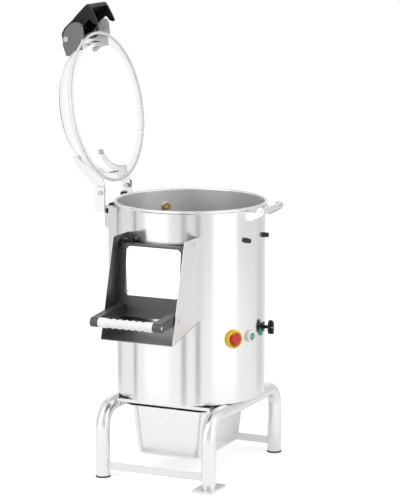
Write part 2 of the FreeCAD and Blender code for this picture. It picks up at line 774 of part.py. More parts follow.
def makeLatch():
    # A moulded cover between the cheeks. Its two side ribs end in hooks that reach under the catch bar.
    aim = math.atan2(catchZ - latchZ, catchX - latchX)
    reach = math.hypot(catchX - latchX, catchZ - latchZ)
    under = reach + catchRadius + catchGap
    seat = []
    for lean in (-6.0, -3.0, 0.0):
        a = aim + math.radians(lean)
        seat.append((under * math.cos(a), under * math.sin(a)))
    cover = [(-10, 10), (-2, 15), (16, 15), (34, 7), (64, -29), (87, -62), (92, -71), (88, -77), (73.5, -83.3),
             (57.8, -88.8), (35.9, -95.9), (31.5, -94.5), (30, -91)]
    notch = [(48.2, -71.7), (48.8, -69), (47.8, -66.5), (40.6, -51.6), (24, -33), (10, -21), (-10, -10)]
    body = prism(fromLatch(cover + seat + notch), -latchWide, 2 * latchWide, "y")
    half = hookWide - ribThick
    hollow = [(-2, -15), (8, 7), (20, 7), (30, -1), (59, -35), (81, -66), (83, -72), (81, -78), (69, -101),
              (-1, -116), (-1, -56)]
    body = body.cut(prism(fromLatch(hollow), -half, 2 * half, "y"))
    for side in (-1, 1):
        wedge = [(20, side * (latchWide + 5)), (20, side * latchWide), (55, side * hookWide),
                 (150, side * (hookWide - 3)), (150, side * (latchWide + 5))]
        body = body.cut(prism([(latchX + x, y) for x, y in wedge], latchZ - 161, 250, "z"))
        low = [(-20, side * (latchWide + 5)), (-20, side * hookWide), (60, side * hookWide), (60, side * (latchWide + 5))]
        body = body.cut(prism([(latchX + x, y) for x, y in low], latchZ - 161, 138, "z"))
    body = body.cut(cyl(latchPinRadius + runningGap, 3 * latchWide, V(latchX, -1.5 * latchWide, latchZ), yAxis))
    parts["latch_handle"] = pickLargest(body)


def makeHinge():
    # A folded box on the drum with a channel below it, two ears for the lid's arms, and a bolt through each ear.
    drum = cyl(drumRadius, 900)
    solid = block(boxOuter, -150, boxFront, boxBack, boxLow, boxHigh)
    edges = [e for e in solid.Edges if e.BoundBox.XMax < boxOuter + 1e-6 and e.BoundBox.ZMax < boxLow + 1e-6]
    solid = solid.makeFillet(boxRound, edges)
    w = boxWall
    box = solid.cut(block(boxOuter + w, -150, boxFront + w, boxBack - w, boxLow + w, boxHigh - w))
    window = block(boxOuter - 1, boxOuter + windowWide, boxFront - 1, boxFront + w + 1, boxHigh - windowHigh, boxHigh - w)
    channel = block(postOuter, -150, boxFront, boxFront + postDeep, postLow, boxLow)
    channel = channel.cut(block(postOuter + w, -150, boxFront + w, boxFront + postDeep + 1, postLow - 1, boxLow))
    top = block(boxOuter - 4, -200, boxFront, boxBack, boxHigh, boxHigh + w)
    top = top.cut(cyl(rimRing + rimTube + 2, 60, V(0, 0, boxHigh - 10)))
    bracket = box.cut(window).fuse(pickLargest(channel.cut(drum))).cut(drum).fuse(pickLargest(top))
    parts["hinge_bracket"] = pickLargest(bracket.removeSplitter())
    ears = []
    bolts = []
    low = hingeX - earHalf - 3
    high = hingeX + earHalf - 3
    for side in (-1, 1):
        y = hingeMidY + side * hingeHalf - earThick / 2 * (1 + side)
        crown = block(low, high, y, y + earThick, hingeZ - 30, earHigh)
        crown = crown.makeFillet(6, [e for e in crown.Edges if e.BoundBox.ZMin > earHigh - 1 and e.BoundBox.YLength > 1])
        ear = block(low, high, y, y + earThick, earLow, hingeZ - 28)
        ear = ear.cut(block(boxOuter, 0, boxFront, boxBack, boxLow, boxHigh)).fuse(crown).removeSplitter()
        ears.append(ear.cut(cyl(hingePinRadius, 20, V(hingeX, y - 5, hingeZ), yAxis)))
        outside = hingeMidY + side * hingeHalf
        inside = hingeMidY + side * (hingeHalf - earThick - lidArmThick - 0.5) - side * (lidArmThick / 2 + boltSpare)
        way = V(0, -side, 0)
        start = V(hingeX, outside + side * boltHeadThick, hingeZ)
        shank = cyl(hingePinRadius, abs(outside - inside) + boltHeadThick, start, way)
        head = cyl(boltHead, boltHeadThick, start, way)
        nut = cyl(boltHead, boltHeadThick, V(hingeX, inside, hingeZ), way)
        bolts.append(fuse([shank, head, nut]))
    parts["hinge_ears"] = group(ears)
    parts["hinge_pin"] = group(bolts)
    stop = block(low, low + stopWide, hingeMidY + hingeHalf - earThick - stopWide, hingeMidY + hingeHalf - earThick,
                 stopLow, stopLow + stopHigh)
    pad = block(boxOuter - 2, boxOuter - 2 + padWide, boxFront + 30, boxFront + 30 + padLength, boxHigh + w,
                boxHigh + w + padHigh)
    parts["hinge_buffers"] = group([stop, pad])


def makeCatch():
    # The round bar that the latch hooks behind, its two brackets, and the rubber bumpers below it.
    bar = cyl(catchRadius, 2 * catchHalf, V(catchX, -catchHalf, catchZ), yAxis)
    rounds = [e for e in bar.Edges if e.Curve.TypeId == "Part::GeomCircle"]
    parts["catch_bar"] = bar.makeFillet(1.0, rounds)
    drum = cyl(drumRadius, 900)
    brackets = []
    for side in (-1, 1):
        y = side * bracketY - bracketWide / 2
        rim = [(-75, -29), (-27, -29), (6, -11), (2, 0), (-20, -3), (-75, -3)]
        arm = prism([(catchX + x, catchZ + z) for x, z in rim], y, bracketWide, "y")
        eye = cyl(bracketEye, bracketWide, V(catchX, y, catchZ), yAxis)
        bracket = arm.fuse(eye).cut(drum).cut(cyl(catchRadius, 30, V(catchX, y - 5, catchZ), yAxis))
        screw = cyl(catchScrew, catchScrewThick, V(catchX, side * catchHalf, catchZ), V(0, side, 0))
        brackets += [pickLargest(bracket.removeSplitter()), screw]
    parts["catch_brackets"] = group(brackets)
    bumpers = []
    for angle in bumperAngles:
        pad = cyl(bumperRadius, bumperLength + 3, V(-3, 0, 0), xAxis)
        pad = pad.makeFillet(2, [e for e in pad.Edges if e.Curve.TypeId == "Part::GeomCircle" and e.Vertexes[0].X > 1])
        bumpers.append(pickLargest(radial(pad, angle, rimHeight - bumperDrop).cut(drum)))
    parts["rubber_bumpers"] = group(bumpers)


def roundOff(shape, radius, beyond):
    # Rounds the circular edges that lie further out than a distance.
    return shape.makeFillet(radius, [e for e in shape.Edges if e.Curve.TypeId == "Part::GeomCircle" and
                                     e.Vertexes[0].X > beyond])


def makeControls():
    skin = cyl(drumRadius, 900)
    plate = tube(estopDisc, estopNeck, estopDiscThick + 4, V(-4, 0, 0), xAxis)
    shroud = roundOff(tube(estopDisc, estopWell, estopShroud + 4, V(-4, 0, 0), xAxis), 2.0, 0)
    plate = radial(plate.fuse(shroud), estopAngle, estopHeight).cut(skin)
    collar = radial(tube(estopNeck, estopNeck - 3, estopDiscThick + 12, V(-12, 0, 0), xAxis), estopAngle, estopHeight)
    parts["estop_plate"] = plate.fuse(collar).removeSplitter()
    start = estopDiscThick + estopTravel + 0.5
    cap = roundOff(cyl(estopCap, estopCapThick, V(start, 0, 0), xAxis), 4.0, start + 5)
    stem = cyl(estopNeck - 3 - softGap, start + 6, V(-6, 0, 0), xAxis)
    parts["estop_button"] = radial(cap.fuse(stem).removeSplitter(), estopAngle, estopHeight)
    bezel = roundOff(tube(startRadius, startCap, startProud + 4, V(-4, 0, 0), xAxis), 1.2, 0)
    parts["start_bezel"] = radial(bezel, startAngle, startHeight).cut(skin)
    cap = roundOff(cyl(startCap - softGap, startProud + 10.5, V(-10, 0, 0), xAxis), 1.5, 0)
    parts["start_button"] = radial(cap, startAngle, startHeight)
    lens = roundOff(cyl(lampRadius, lampProud + 3, V(-3, 0, 0), xAxis), 3.0, 0)
    parts["pilot_lamp"] = radial(lens, lampAngle, lampHeight).cut(skin)
    half = switchPlate / 2
    plate = block(-4, switchPlateThick, -half, half, -half, half)
    plate = plate.cut(cyl(switchShaft + runningGap, 40, V(-10, 0, 0), xAxis))
    parts["switch_plate"] = radial(plate, switchAngle, switchHeight).cut(skin)
    start = switchPlateThick + switchReach
    shaft = cyl(switchShaft, start + 10, V(-8, 0, 0), xAxis)
    knob = cyl(switchKnob, switchKnobThick, V(start, 0, 0), xAxis)
    end = start + switchKnobThick + switchFin
    fin = block(start, end, -switchFinWide / 2, switchFinWide / 2, -switchKnob + 1, switchKnob - 1)
    fin = fin.makeFillet(switchFinRound, [e for e in fin.Edges if e.BoundBox.XMin > end - 1e-6 and
                                          e.BoundBox.ZMin > switchKnob - 1 - 1e-6])
    parts["switch_knob"] = radial(fuse([knob, fin, shaft]), switchAngle, switchHeight)


def makeWater():
    nozzle = cyl(nozzleRadius, 9, V(-drumWall - 9, 0, 0), xAxis)
    neck = cyl(nozzleBore + 2, pipeReach + 8, V(-6, 0, 0), xAxis)
    nozzle = nozzle.fuse(neck)
    nozzle = nozzle.cut(cyl(nozzleBore, pipeReach + 40, V(-30, 0, 0), xAxis))
    nozzle = nozzle.common(block(-40, 60, -60, 60, -60, 60))
    placed = radial(nozzle, nozzleAngle, nozzleHeight)
    nut = tube(nozzleRadius + 1, nozzleBore + 1, 8, V(1, 0, 0), xAxis)
    nut = radial(nut, nozzleAngle, nozzleHeight)
    parts["water_nozzle"] = placed.fuse(nut).cut(parts["drum_shell"]).removeSplitter()


lidNodes = ("lid_dome", "lid_gasket", "lid_arms", "latch_cheeks", "latch_pin", "lid_fixings", "latch_handle")

makeFrame()
makeTray()
makePan()
makeDrum()
makeDrive()
makeChute()
makeDoor()
makeLid()
makeHinge()
makeCatch()
makeControls()
makeWater()

hinge = V(hingeX, 0, hingeZ)
for node in lidNodes:
    parts[node] = turned(parts[node], -lidOpen, yAxis, hinge)
latch = turned(Part.Vertex(V(latchX, 0, latchZ)), -lidOpen, yAxis, hinge).Point

everything = group(list(parts.values()))
box = everything.optimalBoundingBox(False)
shift = V(-(box.XMin + box.XMax) / 2, -(box.YMin + box.YMax) / 2, -box.ZMin)
os.makedirs("parts", exist_ok=True)
for node, shape in parts.items():
    shape.translate(shift)
    shape.exportStep("parts/" + node + ".step")
print("nodes", len(parts))
print("shift", round(shift.x, 4), round(shift.y, 4), round(shift.z, 4))
print("size", round(box.XLength, 2), round(box.YLength, 2), round(box.ZLength, 2))
print("latch axis", round(latch.x + shift.x, 4), round(latch.z, 4))
for node, shape in parts.items():
    if not shape.isValid() or shape.Volume <= 0:
        print("BAD", node, shape.isValid(), shape.Volume)
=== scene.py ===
import bpy
import math
import numpy as np
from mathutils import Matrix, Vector


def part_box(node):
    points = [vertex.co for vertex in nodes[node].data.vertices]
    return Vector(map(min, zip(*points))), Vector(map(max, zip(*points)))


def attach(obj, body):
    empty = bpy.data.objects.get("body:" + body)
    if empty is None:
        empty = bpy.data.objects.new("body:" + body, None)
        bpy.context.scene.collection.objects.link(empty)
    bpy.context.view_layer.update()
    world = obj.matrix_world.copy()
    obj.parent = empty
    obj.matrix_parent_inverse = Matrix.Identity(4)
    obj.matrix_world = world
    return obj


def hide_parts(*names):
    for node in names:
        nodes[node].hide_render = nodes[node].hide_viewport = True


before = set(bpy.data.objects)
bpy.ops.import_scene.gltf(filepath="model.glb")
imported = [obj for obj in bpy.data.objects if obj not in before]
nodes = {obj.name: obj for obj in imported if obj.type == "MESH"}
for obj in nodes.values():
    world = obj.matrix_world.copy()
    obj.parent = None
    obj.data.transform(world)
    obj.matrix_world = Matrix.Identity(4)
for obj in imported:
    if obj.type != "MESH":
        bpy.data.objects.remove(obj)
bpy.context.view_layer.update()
print("frame loaded:", len(nodes), "nodes")

# The drum's axis, read from the round plate that closes the drum
low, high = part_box("base_cover")
drumX, drumY = (low.x + high.x) / 2, (low.y + high.y) / 2

camera = {
    "targetRight": 0.026802,   # how far the aim is to the camera's right of the drum's axis
    "targetHeight": 0.65073,
    "azimuth": 25.2716,        # degrees round from the chute side
    "elevation": 10.2323,
    "distance": 7.09638,
    "lens": 172.8,
    "farClip": 60,
}


def makeCamera(c):
    # The camera looks at a point beside the drum's axis from a long way off, as the photograph was taken.
    a, e = math.radians(c["azimuth"]), math.radians(c["elevation"])
    right = Vector((math.cos(a), math.sin(a), 0))
    back = Vector((math.sin(a) * math.cos(e), -math.cos(a) * math.cos(e), math.sin(e)))
    target = Vector((drumX, drumY, c["targetHeight"])) + right * c["targetRight"]
    data = bpy.data.cameras.new("camera")
    data.lens = c["lens"]
    data.sensor_width = 36.0
    data.sensor_fit = "AUTO"
    data.clip_end = c["farClip"]
    eye = bpy.data.objects.new("camera", data)
    bpy.context.scene.collection.objects.link(eye)
    eye.location = target + back * c["distance"]
    eye.rotation_euler = back.to_track_quat("Z", "Y").to_euler()
    bpy.context.scene.camera = eye


makeCamera(camera)
bpy.context.scene.view_settings.view_transform = "Standard"

studio = {
    "ambient": 0.62,           # how strongly the white surroundings light matt surfaces
    "floorWhite": 0.86,
    "floorLift": 0.47,         # added where the camera sees the floor, so that it clips to white
    "floorShine": 0.33,        # the same where a mirror sees it
    "floorThrough": 0.16,      # the same where it is seen through the clear lid
    "floorHalf": 14.0,
    "lampAim": 0.6,            # height at which the lamps point
}
# Soft lamps: name, bearing from the camera, height, distance, size, power
lamps = [
    ("keyLight", -48, 3.3, 3.2, 2.2, 70),
    ("fillLight", 62, 2.1, 3.4, 1.76, 26),
]
cardHigh = 3.2
# Upright cards that only the steel's reflections see: bearing from the camera, width, distance, grey
cards = [
    (-9.8, 0.115, 1.15, 0.40),
    (9.8, 0.115, 1.15, 0.42),
    (-50.0, 0.80, 1.15, 1.36),
    (50.0, 0.80, 1.15, 1.38),
    (-87.8, 0.10, 1.15, 0.30),
    (127.3, 0.55, 1.15, 0.80),
    (-136.8, 0.40, 1.15, 0.70),
]


def seenRays(tree, x, y):
    # 1 for rays from the camera, a mirror or clear plastic, and 0 for light that falls on matt surfaces.
    path = tree.nodes.new("ShaderNodeLightPath")
    path.location = (x - 400, y)
    first = tree.nodes.new("ShaderNodeMath")
    first.operation = "MAXIMUM"
    first.location = (x - 200, y)
    tree.links.new(path.outputs["Is Camera Ray"], first.inputs[0])
    tree.links.new(path.outputs["Is Glossy Ray"], first.inputs[1])
    second = tree.nodes.new("ShaderNodeMath")
    second.operation = "MAXIMUM"
    second.location = (x, y)
    tree.links.new(first.outputs[0], second.inputs[0])
    tree.links.new(path.outputs["Is Transmission Ray"], second.inputs[1])
    return second.outputs[0]


def makeStudio(s):
    world = bpy.data.worlds.new("surroundings")
    bpy.context.scene.world = world
    world.use_nodes = True
    tree = world.node_tree
    background = tree.nodes["Background"]
    background.inputs["Color"].default_value = (1, 1, 1, 1)
    spread = tree.nodes.new("ShaderNodeMapRange")
    spread.location = (-250, 0)
    spread.inputs["To Min"].default_value = s["ambient"]
    spread.inputs["To Max"].default_value = 1.0
    tree.links.new(seenRays(tree, -450, 0), spread.inputs["Value"])
    tree.links.new(spread.outputs["Result"], background.inputs["Strength"])

    material = bpy.data.materials.new("studioFloor")
    material.use_nodes = True
    tree = material.node_tree
    tree.nodes.clear()
    matt = tree.nodes.new("ShaderNodeBsdfDiffuse")
    white = s["floorWhite"]
    matt.inputs["Color"].default_value = (white, white, white, 1)
    glow = tree.nodes.new("ShaderNodeEmission")
    glow.location = (0, -200)
    path = tree.nodes.new("ShaderNodeLightPath")
    path.location = (-600, -300)
    parts = []
    for kind, strength, y in (("Is Camera Ray", s["floorLift"], -300), ("Is Glossy Ray", s["floorShine"], -480),
                              ("Is Transmission Ray", s["floorThrough"], -660)):
        lift = tree.nodes.new("ShaderNodeMath")
        lift.operation = "MULTIPLY"
        lift.location = (-380, y)
        lift.inputs[1].default_value = strength
        tree.links.new(path.outputs[kind], lift.inputs[0])
        parts.append(lift.outputs[0])
    total = tree.nodes.new("ShaderNodeMath")
    total.operation = "ADD"
    total.location = (-180, -380)
    tree.links.new(parts[0], total.inputs[0])
    tree.links.new(parts[1], total.inputs[1])
    whole = tree.nodes.new("ShaderNodeMath")
    whole.operation = "ADD"
    whole.location = (0, -420)
    tree.links.new(total.outputs[0], whole.inputs[0])
    tree.links.new(parts[2], whole.inputs[1])
    tree.links.new(whole.outputs[0], glow.inputs["Strength"])
    both = tree.nodes.new("ShaderNodeAddShader")
    both.location = (250, 0)
    tree.links.new(matt.outputs[0], both.inputs[0])
    tree.links.new(glow.outputs[0], both.inputs[1])
    out = tree.nodes.new("ShaderNodeOutputMaterial")
    out.location = (450, 0)
    tree.links.new(both.outputs[0], out.inputs["Surface"])
    half = s["floorHalf"]
    mesh = bpy.data.meshes.new("floor")
    mesh.from_pydata([(-half, -half, 0), (half, -half, 0), (half, half, 0), (-half, half, 0)], [], [(0, 1, 2, 3)])
    floor = bpy.data.objects.new("floor", mesh)
    floor.data.materials.append(material)
    bpy.context.scene.collection.objects.link(floor)

    for name, bearing, height, away, size, power in lamps:
        lamp = bpy.data.lights.new(name, "AREA")
        lamp.shape = "SQUARE"
        lamp.size = size
        lamp.energy = power
        holder = bpy.data.objects.new(name, lamp)
        turn = math.radians(camera["azimuth"] + bearing)
        holder.location = (drumX + math.sin(turn) * away, drumY - math.cos(turn) * away, height)
        toward = Vector((drumX, drumY, s["lampAim"])) - holder.location
        holder.rotation_euler = toward.to_track_quat("-Z", "Y").to_euler()
        bpy.context.scene.collection.objects.link(holder)


def makeCards(rows):
    # Each card stands upright and faces the drum's axis, and shows in the steel as a dark or light strip.
    for i, (bearing, wide, away, grey) in enumerate(rows):
        turn = math.radians(camera["azimuth"] + bearing)
        out = np.array([math.sin(turn), -math.cos(turn), 0.0])
        side = np.array([math.cos(turn), math.sin(turn), 0.0])
        centre = np.array([drumX, drumY, 0.0]) + out * away
        corners = [centre - side * wide / 2, centre + side * wide / 2]
        verts = corners + [corners[1] + [0, 0, cardHigh], corners[0] + [0, 0, cardHigh]]
        mesh = bpy.data.meshes.new("card%d" % i)
        mesh.from_pydata([tuple(v) for v in verts], [], [(0, 1, 2, 3)])
        card = bpy.data.objects.new("card%d" % i, mesh)
        material = bpy.data.materials.new("card%d" % i)
        material.use_nodes = True
        shader = material.node_tree.nodes["Principled BSDF"]
        shader.inputs["Base Color"].default_value = (0, 0, 0, 1)
        shader.inputs["Roughness"].default_value = 1.0
        shader.inputs["Emission Color"].default_value = (grey, grey, grey, 1)
        shader.inputs["Emission Strength"].default_value = 1.0
        mesh.materials.append(material)
        bpy.context.scene.collection.objects.link(card)
        card.visible_camera = False
        card.visible_diffuse = False
        card.visible_shadow = False
        card.visible_transmission = False


makeStudio(studio)
makeCards(cards)
print("camera and studio made")

finishes = {}


def newFinish(name, colour, roughness, metallic=0.0, **extra):
    material = bpy.data.materials.new(name)
    material.use_nodes = True
    tree = material.node_tree
    shader = tree.nodes["Principled BSDF"]
    shader.inputs["Base Color"].default_value = (*colour, 1)
    shader.inputs["Roughness"].default_value = roughness
    shader.inputs["Metallic"].default_value = metallic
    for socket, value in extra.items():
        shader.inputs[socket.replace("_", " ")].default_value = value
    finishes[name] = material
    return material, tree, shader


def noiseOn(tree, stretch, scale, detail=3.0, x=-900, y=0, roughness=0.55):
    # Noise in the piece's own space, drawn out along the axes with a small stretch value.
    place = tree.nodes.new("ShaderNodeTexCoord")
    place.location = (x - 400, y)
    mapping = tree.nodes.new("ShaderNodeMapping")
    mapping.location = (x - 200, y)
    mapping.inputs["Scale"].default_value = stretch
    tree.links.new(place.outputs["Object"], mapping.inputs["Vector"])
    noise = tree.nodes.new("ShaderNodeTexNoise")
    noise.location = (x, y)
    noise.inputs["Scale"].default_value = scale
    noise.inputs["Detail"].default_value = detail
    noise.inputs["Roughness"].default_value = roughness
    tree.links.new(mapping.outputs["Vector"], noise.inputs["Vector"])
    return noise.outputs["Fac"]


def spreadTo(tree, value, lowTo, highTo, x=-500, y=0, lowFrom=0.3, highFrom=0.7):
    spread = tree.nodes.new("ShaderNodeMapRange")
    spread.location = (x, y)
    spread.inputs["From Min"].default_value = lowFrom
    spread.inputs["From Max"].default_value = highFrom
    spread.inputs["To Min"].default_value = lowTo
    spread.inputs["To Max"].default_value = highTo
    tree.links.new(value, spread.inputs["Value"])
    return spread.outputs["Result"]


def twoColours(tree, shader, value, first, second, x=-350, y=250):
    mix = tree.nodes.new("ShaderNodeMix")
    mix.data_type = "RGBA"
    mix.location = (x, y)
    mix.inputs[6].default_value = (*first, 1)
    mix.inputs[7].default_value = (*second, 1)
    tree.links.new(value, mix.inputs[0])
    tree.links.new(mix.outputs[2], shader.inputs["Base Color"])


def bumpOn(tree, shader, value, strength, distance, x=-350, y=-300):
    bump = tree.nodes.new("ShaderNodeBump")
    bump.location = (x, y)
    bump.inputs["Strength"].default_value = strength
    bump.inputs["Distance"].default_value = distance
    tree.links.new(value, bump.inputs["Height"])
    tree.links.new(bump.outputs["Normal"], shader.inputs["Normal"])


def maskAlong(tree, axis, edge, x=-900, y=500, soft=0.0004, centre=None):
    # 0 below and 1 above a place in the piece's own space, along one axis or away from an upright axis.
    place = tree.nodes.new("ShaderNodeTexCoord")
    place.location = (x - 600, y)
    source = place.outputs["Object"]
    if centre is not None:
        move = tree.nodes.new("ShaderNodeMapping")
        move.location = (x - 450, y)
        move.inputs["Location"].default_value = (-centre[0], -centre[1], 0)
        move.inputs["Scale"].default_value = (1, 1, 0)
        tree.links.new(source, move.inputs["Vector"])
        length = tree.nodes.new("ShaderNodeVectorMath")
        length.operation = "LENGTH"
        length.location = (x - 250, y)
        tree.links.new(move.outputs["Vector"], length.inputs[0])
        value = length.outputs["Value"]
    else:
        split = tree.nodes.new("ShaderNodeSeparateXYZ")
        split.location = (x - 250, y)
        tree.links.new(source, split.inputs["Vector"])
        value = split.outputs[axis]
    return spreadTo(tree, value, 0, 1, x=x, y=y, lowFrom=edge - soft, highFrom=edge + soft)


def mixValues(tree, value, first, second, x=-300, y=-100):
    mix = tree.nodes.new("ShaderNodeMix")
    mix.data_type = "FLOAT"
    mix.location = (x, y)
    tree.links.new(value, mix.inputs[0])
    tree.links.new(first, mix.inputs[2])
    tree.links.new(second, mix.inputs[3])
    return mix.outputs[0]


def twoSided(name, axis, edge, lowSide, highSide, centre=None):
    # One steel whose colour and roughness change where a sheet's inner face meets its outer one. The colour change is
    # painted light: painted shade on the chute plates' inner faces, painted reflection on the latch cheeks, painted
    # shadow on the tray's top and a paler inner skin on the drum.
    material, tree, shader = newFinish(name, lowSide[0], lowSide[1], 1.0)
    side = maskAlong(tree, axis, edge, centre=centre)
    grain = noiseOn(tree, lowSide[3], 14.0, 5.0, y=200)
    twoColours(tree, shader, side, lowSide[0], highSide[0])
    cloud = noiseOn(tree, (1, 1, 1), 7.0, 2.0, y=-100)
    low = spreadTo(tree, cloud, lowSide[1], lowSide[2], y=-100)
    high = spreadTo(tree, cloud, highSide[1], highSide[2], y=-350)
    tree.links.new(mixValues(tree, side, low, high), shader.inputs["Roughness"])
    bumpOn(tree, shader, grain, 0.012, 0.001, y=-500)


steelFinishes = {
    # name: pale colour, darker colour, roughness from and to, stretch along x y z, bump
    # The door panel's near-black steel is painted shade inside the chute.
    "paintedShadeDoor": ((0.115, 0.115, 0.12), (0.085, 0.085, 0.09), 0.30, 0.42, (3, 3, 60), 0.03),
    # The hinge bracket's steel is darker than the sheet steel: painted dark reflection.
    "bracketSteel": ((0.52, 0.52, 0.525), (0.48, 0.48, 0.485), 0.26, 0.36, (2, 2, 60), 0.03),
    # The pins' and fixings' steel is darker than the sheet steel: painted dark reflection.
    "headSteel": ((0.52, 0.52, 0.53), (0.44, 0.44, 0.45), 0.22, 0.34, (30, 30, 30), 0.03),
    "sheetSteel": ((0.72, 0.72, 0.725), (0.66, 0.66, 0.67), 0.22, 0.32, (2, 2, 60), 0.03),
    # The chute floor's dark steel is painted shade inside the chute.
    "paintedShadeFloor": ((0.34, 0.34, 0.345), (0.28, 0.28, 0.285), 0.34, 0.48, (60, 3, 3), 0.05),
    # The liner's near-white colour, paler than steel, is painted reflection of the white surroundings; its low
    # roughness is its mirror polish.
    "mirrorSteel": ((0.93, 0.93, 0.935), (0.90, 0.90, 0.905), 0.05, 0.09, (4, 4, 30), 0.0),
    "tubeSteel": ((0.80, 0.80, 0.805), (0.76, 0.76, 0.765), 0.16, 0.22, (30, 2, 2), 0.01),
    "barSteel": ((0.76, 0.76, 0.77), (0.68, 0.68, 0.69), 0.25, 0.36, (3, 60, 60), 0.05),
    "panSteel": ((0.80, 0.80, 0.805), (0.75, 0.75, 0.755), 0.20, 0.30, (4, 4, 40), 0.02),
    "pinSteel": ((0.80, 0.80, 0.81), (0.72, 0.72, 0.73), 0.12, 0.22, (30, 30, 30), 0.03),
}


def makeSteels(rows):
    for name, (pale, dark, smooth, rough, stretch, bump) in rows.items():
        material, tree, shader = newFinish(name, pale, smooth, 1.0)
        grain = noiseOn(tree, stretch, 14.0, 5.0, y=200)
        cloud = noiseOn(tree, (1, 1, 1), 7.0, 2.0, y=-100)
        twoColours(tree, shader, spreadTo(tree, grain, 0, 1, y=200), pale, dark)
        tree.links.new(spreadTo(tree, cloud, smooth, rough, y=-100), shader.inputs["Roughness"])
        bumpOn(tree, shader, grain, bump, 0.001)


def makePlastics():
    # Moulded and cast finishes: a little colour drift, roughness drift and a fine surface.
    rows = {
        "blackMoulding": ((0.012, 0.012, 0.013), (0.020, 0.020, 0.021), 0.34, 0.46, 900, 0.10, 0.0),
        "latchBlack": ((0.008, 0.008, 0.009), (0.013, 0.013, 0.014), 0.30, 0.42, 900, 0.10, 0.0),
        "blackRubber": ((0.020, 0.020, 0.021), (0.040, 0.040, 0.042), 0.60, 0.78, 500, 0.20, 0.0),
        "whiteMoulding": ((0.90, 0.90, 0.89), (0.84, 0.84, 0.83), 0.28, 0.42, 500, 0.06, 0.0),
        "yellowMoulding": ((0.93, 0.62, 0.03), (0.88, 0.55, 0.02), 0.35, 0.48, 700, 0.08, 0.0),
        "redMoulding": ((0.68, 0.03, 0.03), (0.58, 0.02, 0.02), 0.28, 0.40, 700, 0.06, 0.0),
        "greenMoulding": ((0.02, 0.42, 0.25), (0.015, 0.34, 0.20), 0.26, 0.38, 700, 0.05, 0.0),
        "sealRubber": ((0.86, 0.86, 0.85), (0.76, 0.76, 0.75), 0.50, 0.65, 400, 0.10, 0.0),
        "greyPaint": ((0.085, 0.085, 0.09), (0.060, 0.060, 0.064), 0.30, 0.45, 600, 0.15, 0.35),
        "castAluminium": ((0.52, 0.53, 0.54), (0.40, 0.41, 0.42), 0.38, 0.55, 350, 0.30, 0.9),
        "castGrey": ((0.20, 0.22, 0.24), (0.14, 0.15, 0.17), 0.45, 0.60, 300, 0.35, 0.2),
        "turnedBrass": ((0.72, 0.48, 0.16), (0.58, 0.36, 0.10), 0.22, 0.36, 300, 0.08, 1.0),
    }
    for name, (pale, dark, smooth, rough, scale, bump, metallic) in rows.items():
        material, tree, shader = newFinish(name, pale, smooth, metallic)
        if name in ("blackMoulding", "latchBlack"):
            shader.inputs["Specular IOR Level"].default_value = 0.22
        cloud = noiseOn(tree, (1, 1, 1), 22.0, 3.0, y=200)
        fine = noiseOn(tree, (1, 1, 1), scale, 2.0, y=-250)
        twoColours(tree, shader, spreadTo(tree, cloud, 0, 1, y=200), pale, dark)
        tree.links.new(spreadTo(tree, cloud, smooth, rough, y=0), shader.inputs["Roughness"])
        bumpOn(tree, shader, fine, bump, 0.0006)


def makeGrit():
    # Bonded grit: small hard grains of two greys that stand out of a dark binder.
    material, tree, shader = newFinish("bondedGrit", (0.3, 0.3, 0.3), 0.85)
    place = tree.nodes.new("ShaderNodeTexCoord")
    place.location = (-1200, 0)
    grains = tree.nodes.new("ShaderNodeTexVoronoi")
    grains.location = (-900, 0)
    grains.inputs["Scale"].default_value = 480.0
    tree.links.new(place.outputs["Object"], grains.inputs["Vector"])
    twoColours(tree, shader, spreadTo(tree, grains.outputs["Distance"], 0, 1, y=100, lowFrom=0.1, highFrom=0.6),
               (0.42, 0.41, 0.40), (0.14, 0.14, 0.145))
    relief = spreadTo(tree, grains.outputs["Distance"], 1, 0, y=-200, lowFrom=0.0, highFrom=0.7)
    bumpOn(tree, shader, relief, 0.6, 0.0012)


clearFinishes = {
    # name: tint face on, grey seen edge on as painted edge shade, roughness from and to, refractive index
    "clearSheet": ((0.990, 0.990, 0.990), (0.72, 0.725, 0.73), 0.0, 0.015, 1.02),
    "clearRim": ((0.87, 0.872, 0.872), (0.62, 0.625, 0.63), 0.05, 0.12, 1.03),
}


def makeClear(rows):
    # Clear moulded sheet: nearly colourless face on and greyer edge on, where the grey is painted shade that stands
    # for refraction at the edges, with a faint polish haze.
    for name, (tint, edge, smooth, rough, index) in rows.items():
        material, tree, shader = newFinish(name, tint, smooth)
        shader.inputs["Transmission Weight"].default_value = 1.0
        shader.inputs["IOR"].default_value = index
        ripple = noiseOn(tree, (1, 1, 1), 14.0, 2.0, y=-200)
        tree.links.new(spreadTo(tree, ripple, smooth, rough, y=0), shader.inputs["Roughness"])
        # The grey seen edge on is painted shade.
        weight = tree.nodes.new("ShaderNodeLayerWeight")
        weight.location = (-900, 400)
        weight.inputs["Blend"].default_value = 0.5
        share = spreadTo(tree, weight.outputs["Facing"], 0, 1, x=-650, y=400, lowFrom=0.55, highFrom=1.0)
        twoColours(tree, shader, share, tint, edge)


makeSteels(steelFinishes)
# Dark colour for the chute plates' inner faces: painted shade.
paintedShadeInside = ((0.22, 0.22, 0.225), 0.34, 0.46, (60, 3, 3))
plain = ((0.74, 0.74, 0.745), 0.36, 0.44, (2, 2, 60))
# Pale, rough colour for the rear latch cheek: painted reflection.
pale = ((0.92, 0.92, 0.92), 0.60, 0.66, (2, 2, 60))
edges = {
    "drumInside": 0.2192,      # radius between the drum's inner and outer skin
    "sidePlate": 0.113,        # from the drum's axis to the middle of each side plate
    "trayTop": 0.2275,
}
# The drum's inner skin is paler and rougher than its outer skin. The paler colour is painted light on what is one
# steel.
twoSided("drumSkin", "X", edges["drumInside"], ((0.80, 0.80, 0.80), 0.36, 0.42, (1, 1, 40)),
         ((0.745, 0.745, 0.745), 0.16, 0.22, (1, 1, 40)), centre=(drumX, drumY))
